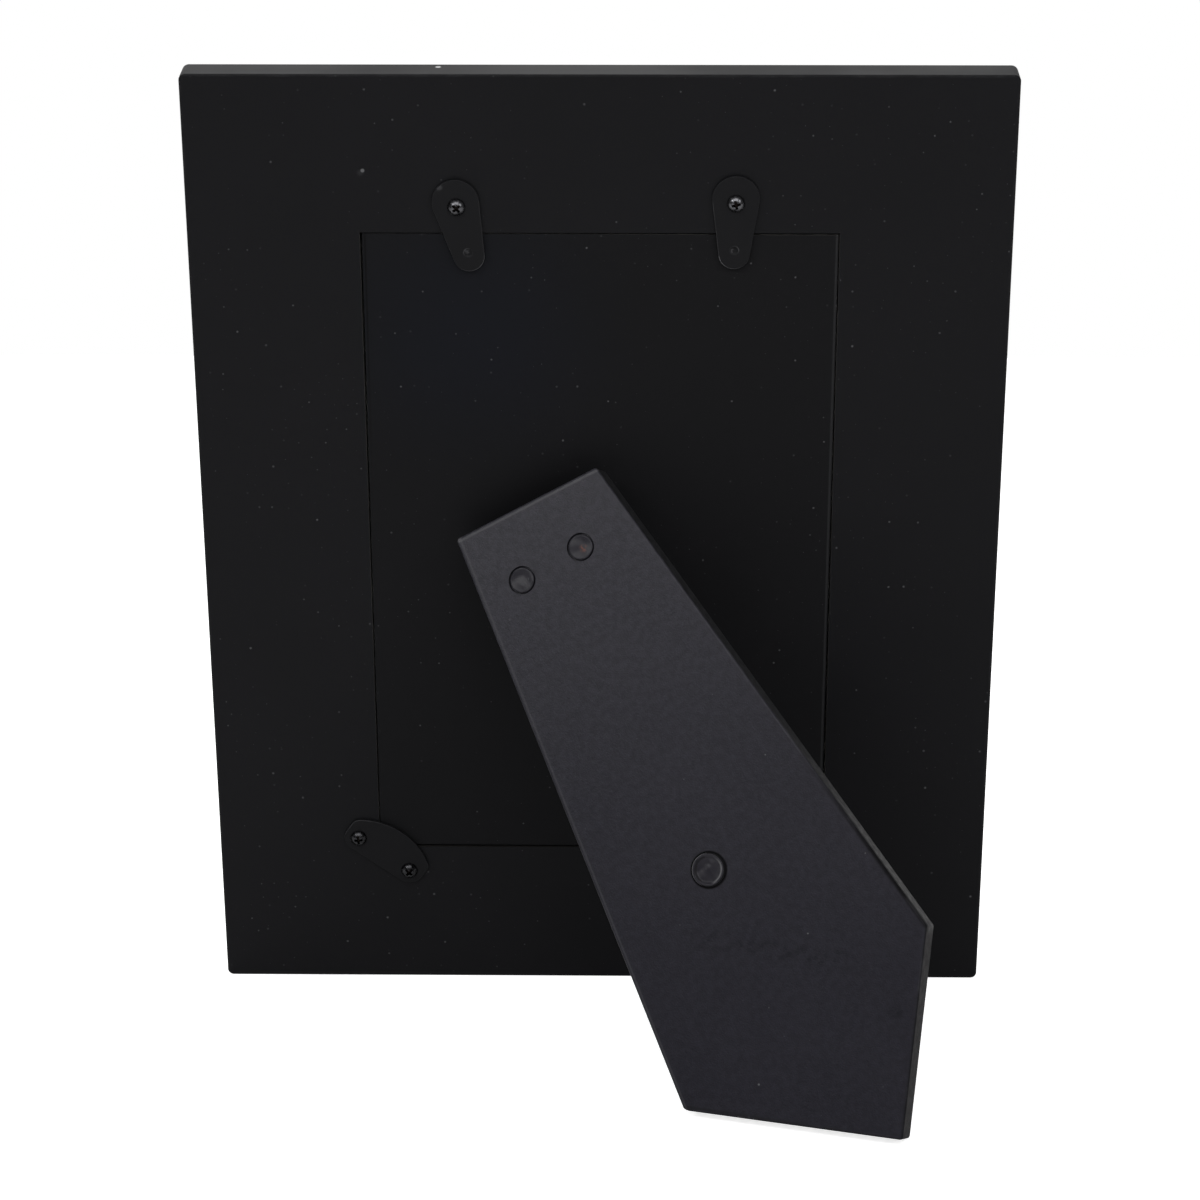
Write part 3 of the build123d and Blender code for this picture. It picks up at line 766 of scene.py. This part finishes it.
boardLook = {"rimEdge": 0.6 * mm, "rimReach": 2.0 * mm, "innerEdge": 0.1 * mm, "panelEdge": 0.24 * mm}


def makeBoard():  # the outer edges are softer than those of the pocket and the window
    bm = mergedCopy("frame_body")
    back = boardPlace.inverted()

    def onRim(edge):
        spot = back @ ((edge.verts[0].co + edge.verts[1].co) / 2)
        return min(*(spot - boardLow).xy, *(boardHigh - spot).xy) < boardLook["rimReach"]

    rim = [edge for edge in sharpEdges(bm) if onRim(edge)]
    roundEdges(bm, rim, boardLook["rimEdge"], edgeLook["wideSteps"])
    inner = [edge for edge in sharpEdges(bm) if not onRim(edge)]
    roundEdges(bm, inner, boardLook["innerEdge"], edgeLook["fineSteps"])
    rideOn(addPiece(bm, "frameBoard", boardMaterial, "frame_body"), "frame_body")


makeBoard()
# the panel's rounded edges that face right are marked for a painted highlight
softCopy("back_panel", "backPanel", panelMaterial, boardLook["panelEdge"], highlightFacing=boardRight)
print("boards made")


# Swivel buttons, corner plates and hinge

sheetLook = {
    "buttonEdge": 0.14 * mm, "plateEdge": 0.12 * mm, "leafEdge": 0.1 * mm, "pinEdge": 0.15 * mm,
    "tipInwards": 0.75, "tipDown": 0.65, "plateHighlight": 0.5,
}

for side, inwards in (("left", boardRight), ("right", -boardRight)):
    tipHighlightFacing = inwards * sheetLook["tipInwards"] - boardUp * sheetLook["tipDown"]  # edges that face down and inwards get a painted highlight, strongest towards the tip
    softCopy("turn_button_" + side, "turnButton_" + side, metalMaterial, sheetLook["buttonEdge"],
             highlightFacing=tipHighlightFacing, towards=-boardUp)
    # the plates' rounded edges that face up get a painted highlight, strongest towards their outer side
    softCopy("corner_plate_" + side, "cornerPlate_" + side, metalMaterial, sheetLook["plateEdge"],
             highlightFacing=boardUp * sheetLook["plateHighlight"], towards=-inwards)
for side in ("leg", "panel"):
    softCopy("hinge_leaf_" + side, "hingeLeaf_" + side, metalMaterial, sheetLook["leafEdge"])
softCopy("hinge_pin", "hingePin", wornScrewMaterial, sheetLook["pinEdge"])
print("buttons, plates and hinge made")


# Screws

screwLook = {
    "headHeight": 1.4 * mm, "rim": 0.12 * mm, "shankRadius": 1.1 * mm, "point": 1.8 * mm,
    "sides": 48, "capSteps": 8,
    "crossReach": 1.4 * mm, "crossWidth": 0.8 * mm, "crossDepth": 0.9 * mm, "crossTaper": 0.6,
    "crossTurn": {  # degrees, one for each screw of a node, from the left
        "turn_screw_left": (42.6,), "turn_screw_right": (12.8,),
        "corner_screws_left": (4.6, 47.6), "corner_screws_right": (77.4, 30.4)},
}


def crossCutter(top):  # two tapered bars that cross
    look = screwLook
    bars = bmesh.new()
    marks = bars.faces.layers.float.new("edge")
    size = Matrix.Diagonal((2 * look["crossReach"], look["crossWidth"], 2 * look["crossDepth"], 1))
    for quarter in range(2):
        turn = Matrix.Rotation(quarter * math.pi / 2, 4, "Z")
        place = Matrix.Translation((0, 0, top)) @ turn @ size
        bar = bmesh.ops.create_cube(bars, size=1, matrix=place)["verts"]
        low = [corner for corner in bar if corner.co.z < top]
        bmesh.ops.scale(bars, vec=(look["crossTaper"], look["crossTaper"], 1), verts=low)
    for face in bars.faces:
        face[marks] = 1.0  # the recess is dark
    return bars


def cutShape(bm, cutter):  # takes the cutter out of the shape
    holders = []
    for shape in (bm, cutter):
        mesh = bpy.data.meshes.new("cutting")
        shape.to_mesh(mesh)
        shape.free()
        holders.append(bpy.data.objects.new("cutting", mesh))
        bpy.context.scene.collection.objects.link(holders[-1])
    cut = holders[0].modifiers.new("cross", "BOOLEAN")
    cut.object = holders[1]
    cut.operation = "DIFFERENCE"
    cut.solver = "EXACT"
    cut.use_self = True
    result = bmesh.new()
    result.from_object(holders[0], bpy.context.evaluated_depsgraph_get())
    for holder in holders:
        mesh = holder.data
        bpy.data.objects.remove(holder)
        bpy.data.meshes.remove(mesh)
    return result


def crossScrew(radius, top, tip):  # round head with a cross recess, on a plain pointed shank
    look = screwLook
    seat = top - look["headHeight"]
    shank = look["shankRadius"]
    profile = capProfile(radius, look["headHeight"] - look["rim"], top, look["capSteps"])
    profile += [(radius, seat), (shank, seat), (shank, tip + look["point"]), (0, tip)]
    return cutShape(spunShape(profile, look["sides"]), crossCutter(top))


def makeScrews(nodeName, turns):
    groups = [pointsOf(nodeName, boardPlace)]
    if len(turns) == 2:
        middle = centreOf(nodeName, boardPlace).x
        left = [point for point in groups[0] if point.x < middle]
        groups = [left, [point for point in groups[0] if point.x >= middle]]
    shapes = []
    for group, turn in zip(groups, turns):
        low, high = spanOf(group)
        screw = crossScrew((high.x - low.x) / 2, high.z, low.z)
        place = midPlace(boardPlace, low, high) @ Matrix.Rotation(math.radians(turn), 4, "Z")
        bmesh.ops.transform(screw, matrix=place, verts=screw.verts)
        shapes.append(screw)
    material = wornScrewMaterial if nodeName.startswith("turn") else blackScrewMaterial
    rideOn(addPiece(joinShapes(shapes), "crossScrew_" + nodeName, material, nodeName), nodeName)


for screwNode, screwTurns in screwLook["crossTurn"].items():
    makeScrews(screwNode, screwTurns)
print("screws made")


# Leg

legLook = {
    "edge": 0.5 * mm, "holeEdge": 0.12 * mm, "holeReach": 6.0 * mm, "longEdge": 20 * mm, "faceWithin": 0.1 * mm,
    "heelRise": 0.4, "heelRun": 0.8, "heelSpare": 0.01 * mm,
    "holes": ("leg_rivet_left", "leg_rivet_right", "stay_rivet_leg"),
}


def sharpenHeel(bm):  # draws the heel's round corner towards the point where its two edges meet
    back = legPlace.inverted()
    spots = {vertex: back @ vertex.co for vertex in bm.verts}
    face = legHigh.z - legLook["faceWithin"]
    outline = [edge for edge in bm.edges if edge.calc_length() > legLook["longEdge"]
               and min(spots[vertex].z for vertex in edge.verts) > face]
    side = min(outline, key=lambda edge: sum(spots[vertex].x for vertex in edge.verts))
    foot = min(outline, key=lambda edge: sum(spots[vertex].y for vertex in edge.verts))
    sideEnds = sorted((spots[vertex].to_2d() for vertex in side.verts), key=lambda spot: spot.y)
    footEnds = sorted((spots[vertex].to_2d() for vertex in foot.verts), key=lambda spot: spot.x)
    point = geometry.intersect_line_line(*(spot.to_3d() for spot in sideEnds + footEnds))[0].to_2d()
    rise, run = (sideEnds[1] - point).normalized(), (footEnds[1] - point).normalized()
    reach = (sideEnds[0] - point).length + legLook["heelSpare"]
    axes = Matrix((rise, run)).transposed()
    for vertex, spot in spots.items():
        up, along = axes.inverted() @ (spot.to_2d() - point)
        if up < reach and along < reach:
            moved = point + axes @ Vector((up * legLook["heelRise"], along * legLook["heelRun"]))
            vertex.co = legPlace @ Vector((*moved, spot.z))


def makeLeg():
    bm = mergedCopy("easel_leg")
    sharpenHeel(bm)
    back = legPlace.inverted()
    centres = [centreOf(name, legPlace).to_2d() for name in legLook["holes"]]

    def atHole(edge):
        spot = (back @ edge.verts[0].co).to_2d()
        return min((spot - centre).length for centre in centres) < legLook["holeReach"]

    holes = [edge for edge in sharpEdges(bm) if atHole(edge)]
    roundEdges(bm, holes, legLook["holeEdge"], edgeLook["fineSteps"])
    outer = [edge for edge in sharpEdges(bm) if not atHole(edge)]
    roundEdges(bm, outer, legLook["edge"], edgeLook["wideSteps"])
    rideOn(addPiece(bm, "easelLeg", legMaterial, "easel_leg"), "easel_leg")


makeLeg()
print("leg made")


# Rivets

flatRivetLook = {
    "headThick": 0.8 * mm, "rimRound": 0.25 * mm, "sink": 0.12 * mm, "shankRadius": 1.5 * mm,
    "tailRadius": 2.5 * mm, "tailThick": 0.5 * mm, "sides": 56, "rings": 12,
    "dent": 0.14 * mm, "dentSize": 420.0, "dentBias": -0.3, "dentFrom": 0.5,
    "waver": 0.07 * mm, "waverSize": 500.0, "waverBias": 0.5, "waverFrom": 1.1, "waverReach": 2 * mm,
    "seeds": {"leg_rivet_left": 3.1, "leg_rivet_right": 8.4},
}


def roundedRim(radius, top, rounding, steps=4):  # points of a rim's quarter round, from the top outwards
    turns = [math.pi / 2 * step / steps for step in range(steps + 1)]
    inner, below = radius - rounding, top - rounding
    return [(inner + rounding * math.sin(turn), below + rounding * math.cos(turn)) for turn in turns]


def dentHead(bm, level, look, seed):  # uneven hammering on the vertices above a level
    for vertex in bm.verts:
        if vertex.co.z > level:
            swing = noise.noise(vertex.co * look["dentSize"] + Vector((seed, seed, 0)))
            vertex.co.z += look["dent"] * (swing + look["dentBias"])


def waverRim(bm, level, look, seed):  # a slightly uneven outline for the head
    for vertex in bm.verts:
        reach = vertex.co.to_2d().length
        if vertex.co.z > level and reach > look["waverReach"]:
            swing = noise.noise(vertex.co * look["waverSize"] + Vector((0, 0, seed)))
            vertex.co.xy *= 1 - look["waver"] / reach * (swing + look["waverBias"])


def makeFlatRivet(nodeName, seed):
    low, high = nodeSpan(nodeName, legPlace)
    look = flatRivetLook
    radius = (high.x - low.x) / 2
    flatEnd = radius - look["rimRound"]
    rings = [flatEnd * ring / look["rings"] for ring in range(look["rings"])]
    profile = [(ring, high.z - look["sink"] * (1 - (ring / flatEnd) ** 2)) for ring in rings]
    profile += roundedRim(radius, high.z, look["rimRound"])
    seat, tail = high.z - look["headThick"], low.z + look["tailThick"]
    profile += [(radius, seat), (look["shankRadius"], seat), (look["shankRadius"], tail)]
    profile += [(look["tailRadius"], tail), (look["tailRadius"], low.z), (0, low.z)]
    rivet = spunShape(profile, look["sides"])
    dentHead(rivet, high.z - look["dentFrom"] * look["headThick"], look, seed)
    waverRim(rivet, high.z - look["waverFrom"] * look["headThick"], look, seed)
    bmesh.ops.transform(rivet, matrix=midPlace(legPlace, low, high), verts=rivet.verts)
    pieceName = "legRivet_" + nodeName.split("_")[-1]
    rideOn(addPiece(rivet, pieceName, rivetMaterial, nodeName), nodeName)


stayRivetLook = {
    "rise": 0.75 * mm, "dishRadius": 3.3 * mm, "dishWall": 0.6 * mm, "dishDepth": 0.4 * mm,
    "blobRadius": 1.5 * mm, "blobRise": 0.16 * mm, "rimRound": 0.32 * mm, "shankRadius": 2.0 * mm,
    "tailThick": 0.5 * mm, "dent": 0.12 * mm, "dentSize": 620.0, "dentBias": -0.2, "sides": 64, "rings": 26,
    "litSide": Vector((-0.8, 0.6, 0)), "highlightMost": 1.0, "highlightGain": 1.8, "highlightFrom": 0.3,
    "darkShade": 0.9, "darkShadeBelow": 0.2, "darkShadeRim": 0.6, "shade": 0.6, "shadeBelow": -0.3,
}


def dishHeight(radius, top):  # a flat dish with a soft wall and a low rise at its centre
    look = stayRivetLook
    share = min(1, max(0, (look["dishRadius"] - radius) / look["dishWall"]))
    blob = math.cos(math.pi / 2 * min(radius / look["blobRadius"], 1)) ** 2
    return top - look["dishDepth"] * share * share * (3 - 2 * share) + look["blobRise"] * blob


def dentDish(bm, seat, seed):
    look = stayRivetLook
    for vertex in bm.verts:
        if vertex.co.z > seat and vertex.co.to_2d().length < look["dishRadius"]:
            swing = noise.noise(vertex.co * look["dentSize"] + Vector((seed, 0, 0)))
            vertex.co.z += look["dent"] * (swing + look["dentBias"])
    bm.normal_update()


def paintLightOnHead(bm, seat, radius):  # painted highlight on slopes that face the upper left, painted shade on the rim and on dish slopes that face away
    look = stayRivetLook
    marks = bm.faces.layers.float["edge"]
    for face in bm.faces:
        centre = face.calc_center_median()
        if centre.z < seat:
            continue
        slope = face.normal.dot(look["litSide"])
        reach = centre.to_2d().length
        face[marks] = min(look["highlightMost"], max(0.0, look["highlightGain"] * slope - look["highlightFrom"]))
        if slope < look["darkShadeBelow"] and reach > radius - look["rimRound"] * look["darkShadeRim"]:
            face[marks] = -look["darkShade"]
        elif slope < look["shadeBelow"] and reach < look["dishRadius"]:
            face[marks] = -look["shade"]


def makeStayRivet(nodeName, place, seed):
    low, high = nodeSpan(nodeName, place)
    look = stayRivetLook
    radius = (high.x - low.x) / 2
    flatEnd = radius - look["rimRound"]
    rings = [flatEnd * ring / look["rings"] for ring in range(look["rings"])]
    profile = [(ring, dishHeight(ring, high.z)) for ring in rings]
    profile += roundedRim(radius, high.z, look["rimRound"])
    seat, tail = high.z - look["rise"], low.z + look["tailThick"]
    profile += [(radius, seat), (look["shankRadius"], seat), (look["shankRadius"], tail)]
    profile += [(radius, tail), (radius, low.z), (0, low.z)]
    rivet = spunShape(profile, look["sides"])
    dentDish(rivet, seat, seed)
    paintLightOnHead(rivet, seat, radius)
    bmesh.ops.transform(rivet, matrix=midPlace(place, low, high), verts=rivet.verts)
    pieceName = "stayRivet_" + nodeName.split("_")[-1]
    rideOn(addPiece(rivet, pieceName, rivetMaterial, nodeName), nodeName)


panelRivetLook = {"edge": 0.1 * mm}
stayRivets = {"stay_rivet_leg": (legPlace, 1.7), "stay_rivet_panel": (hingePlace, 5.2)}  # place and seed

for rivetNode, rivetSeed in flatRivetLook["seeds"].items():
    makeFlatRivet(rivetNode, rivetSeed)
for rivetNode, (rivetPlace, rivetSeed) in stayRivets.items():
    makeStayRivet(rivetNode, rivetPlace, rivetSeed)
softCopy("panel_rivets", "panelRivets", rivetMaterial, panelRivetLook["edge"])
print("rivets made")


# Stay strap

strapLook = {
    "width": 10 * mm, "thick": 0.4 * mm, "clear": 0.05 * mm, "pastRivet": 6 * mm, "flatRun": 5 * mm,
    "bend": 4 * mm, "bendSteps": 8, "step": 1.2 * mm, "across": 10,
}


def bentRun(points):  # the run through the points with its two inner corners rounded
    bend = strapLook["bend"]
    steps = strapLook["bendSteps"]
    run = [points[0]]
    for before, corner, after in zip(points, points[1:], points[2:]):
        start = corner + (before - corner).normalized() * min(bend, (before - corner).length / 2)
        end = corner + (after - corner).normalized() * min(bend, (after - corner).length / 2)
        for step in range(steps + 1):
            share = step / steps
            run.append(start.lerp(corner, share).lerp(corner.lerp(end, share), share))
    return run + [points[-1]]


def evenRun(points, step):  # the same run with long stretches divided
    even = [points[0]]
    for before, after in zip(points, points[1:]):
        count = max(1, round((after - before).length / step))
        even += [before.lerp(after, (share + 1) / count) for share in range(count)]
    return even


def strapRoute():  # flat under the panel's rivet, across to the leg, and flat under the leg's rivet
    look = strapLook
    onPanel = centreOf("stay_rivet_panel", hingePlace)
    onLeg = centreOf("stay_rivet_leg", legPlace)
    lift = look["thick"] / 2 + look["clear"]
    panelFace = nodeSpan("back_panel", hingePlace)[1].z
    return [
        hingePlace @ Vector((onPanel.x, onPanel.y + look["pastRivet"], panelFace + lift)),
        hingePlace @ Vector((onPanel.x, onPanel.y - look["flatRun"], panelFace + lift)),
        legPlace @ Vector((onLeg.x, onLeg.y + look["flatRun"], legLow.z - lift)),
        legPlace @ Vector((onLeg.x, onLeg.y - look["pastRivet"], legLow.z - lift)),
    ]


def sweptRibbon(run):  # a row of edges across the ribbon, extruded along the run
    bm = bmesh.new()
    half = hingeAxis * strapLook["width"] / 2
    shares = [i / strapLook["across"] for i in range(strapLook["across"] + 1)]
    first = [bm.verts.new((run[0] - half).lerp(run[0] + half, share)) for share in shares]
    edges = [bm.edges.new(pair) for pair in zip(first, first[1:])]
    for before, after in zip(run, run[1:]):
        made = bmesh.ops.extrude_edge_only(bm, edges=edges)["geom"]
        edges = [item for item in made if isinstance(item, bmesh.types.BMEdge)]
        fresh = [item for item in made if isinstance(item, bmesh.types.BMVert)]
        bmesh.ops.translate(bm, vec=after - before, verts=fresh)
    return bm


def makeStrap():
    look = strapLook
    route = strapRoute()
    run = evenRun(bentRun(route), look["step"])
    lengths = [0.0]
    for before, after in zip(run, run[1:]):
        lengths.append(lengths[-1] + (after - before).length)
    bm = sweptRibbon(run)
    uvLayer = bm.loops.layers.uv.new("ribbon")
    for face in bm.faces:
        face.smooth = True
        for loop in face.loops:
            row = min(range(len(run)), key=lambda i: (loop.vert.co - run[i]).length)
            side = (loop.vert.co - run[row]).dot(hingeAxis) / look["width"] + 0.5
            loop[uvLayer].uv = (side, lengths[row] / lengths[-1])
    strap = addPiece(bm, "stayStrap", strapMaterial, "stay_strap", smooth=False)
    thick = strap.modifiers.new("thick", "SOLIDIFY")
    thick.thickness = look["thick"]
    thick.offset = 0.0
    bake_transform(strap, "frame", "leg", start=route[1], end=route[2])
    print("strap made,", round(lengths[-1] / mm, 1), "mm long")


makeStrap()


# Card behind the pane

cardLook = {"gap": 0.05 * mm}


def makeCard():
    low, high = nodeSpan("photo_insert", boardPlace)
    size = high - low - Vector((0, 0, 2 * cardLook["gap"]))
    bm = bmesh.new()
    bm.faces.layers.float.new("edge")
    place = boardPlace @ Matrix.Translation((low + high) / 2) @ Matrix.Diagonal((*size, 1))
    bmesh.ops.create_cube(bm, size=1, matrix=place)
    rideOn(addPiece(bm, "photoInsert", cardMaterial, "photo_insert", smooth=False), "photo_insert")


makeCard()
nodes["glass_pane"].data.materials.clear()
nodes["glass_pane"].data.materials.append(glassMaterial)
print("card and pane made")


# Studio

studio = {
    "floorSize": 1.8, "floorColor": (0.86, 0.86, 0.86, 1), "floorLift": 0.78, "floorMirror": 0.15,
    "ambient": 0.28, "backdrop": 1.0, "roomSide": 0.12, "roomTurn": (-0.5, -0.05), "white": (1, 1, 1, 1),
}
cameraShot = {
    "place": (-0.0111, 0.7608, 0.3032), "aim": (-0.0003, 0.0, 0.1086), "lens": 104.3,
    "sensor": 36.0, "near": 0.01,
}
lamps = {  # place, aim, width and height in metres, watts
    "leftSoftbox": ((0.56, 0.54, 0.59), (0.0, 0.0, 0.12), (0.3, 0.26), 2.3),
    "frontSoftbox": ((0.0, 0.8, 0.85), (0.0, 0.0, 0.1), (0.9, 0.6), 6.5),
    "rightSoftbox": ((-0.55, 0.5, 0.45), (-0.06, 0.0, 0.08), (0.3, 0.3), 1.3),
    "topSoftbox": ((0.1, -0.35, 0.9), (0.0, 0.0, 0.1), (0.8, 0.8), 4.2),
}


def rayKinds(tree):  # one for camera rays, and one for glossy and transmission rays
    path = addNode(tree, "ShaderNodeLightPath").outputs
    mirrored = calc(tree, "MAXIMUM", path["Is Glossy Ray"], path["Is Transmission Ray"])
    return path["Is Camera Ray"], mirrored


def makeFloor():
    bm = bmesh.new()
    bmesh.ops.create_grid(bm, x_segments=1, y_segments=1, size=studio["floorSize"] / 2)
    mesh = bpy.data.meshes.new("floor")
    bm.to_mesh(mesh)
    bm.free()
    floor = bpy.data.objects.new("floor", mesh)
    bpy.context.scene.collection.objects.link(floor)
    material = bpy.data.materials.new("paleFloor")
    material.use_nodes = True
    tree = material.node_tree
    tree.nodes.clear()
    camera, mirrored = rayKinds(tree)
    matte = addNode(tree, "ShaderNodeBsdfDiffuse", {"Color": studio["floorColor"]})
    lift, mirror = times(tree, camera, studio["floorLift"]), times(tree, mirrored, studio["floorMirror"])
    glow = addNode(tree, "ShaderNodeEmission", {"Strength": calc(tree, "ADD", lift, mirror)})
    both = addNode(tree, "ShaderNodeAddShader", {0: matte.outputs[0], 1: glow.outputs[0]})
    addNode(tree, "ShaderNodeOutputMaterial", {"Surface": both.outputs[0]})
    mesh.materials.append(material)


def makeWorld():  # white to the camera, dim room light, and a room that mirrors see pale on one side
    world = bpy.data.worlds.new("studioWorld")
    bpy.context.scene.world = world
    world.use_nodes = True
    tree = world.node_tree
    tree.nodes.clear()
    camera, mirrored = rayKinds(tree)
    depth = splitAxes(tree, objectCoords(tree)["Generated"])["Y"]
    room = fade(tree, depth, *studio["roomTurn"], studio["backdrop"], studio["roomSide"])
    level = mixValue(tree, mirrored, studio["ambient"], room)
    level = mixValue(tree, camera, level, studio["backdrop"])
    glow = addNode(tree, "ShaderNodeBackground", {"Color": studio["white"], "Strength": level})
    addNode(tree, "ShaderNodeOutputWorld", {"Surface": glow.outputs[0]})


def lookFrom(obj, place, aim):
    obj.location = place
    obj.rotation_euler = (Vector(aim) - Vector(place)).to_track_quat("-Z", "Y").to_euler()
    bpy.context.scene.collection.objects.link(obj)


def makeLamps():
    for name, (place, aim, size, watts) in lamps.items():
        light = bpy.data.lights.new(name, "AREA")
        light.shape = "RECTANGLE"
        light.size, light.size_y = size
        light.energy = watts
        lookFrom(bpy.data.objects.new(name, light), place, aim)


def makeCamera():
    lens = bpy.data.cameras.new("photoCamera")
    lens.sensor_width = cameraShot["sensor"]
    lens.lens = cameraShot["lens"]
    lens.clip_start = cameraShot["near"]
    camera = bpy.data.objects.new("photoCamera", lens)
    lookFrom(camera, cameraShot["place"], cameraShot["aim"])
    bpy.context.scene.camera = camera


makeFloor()
makeWorld()
makeLamps()
makeCamera()
bpy.context.scene.view_settings.view_transform = "Standard"
print("studio made")
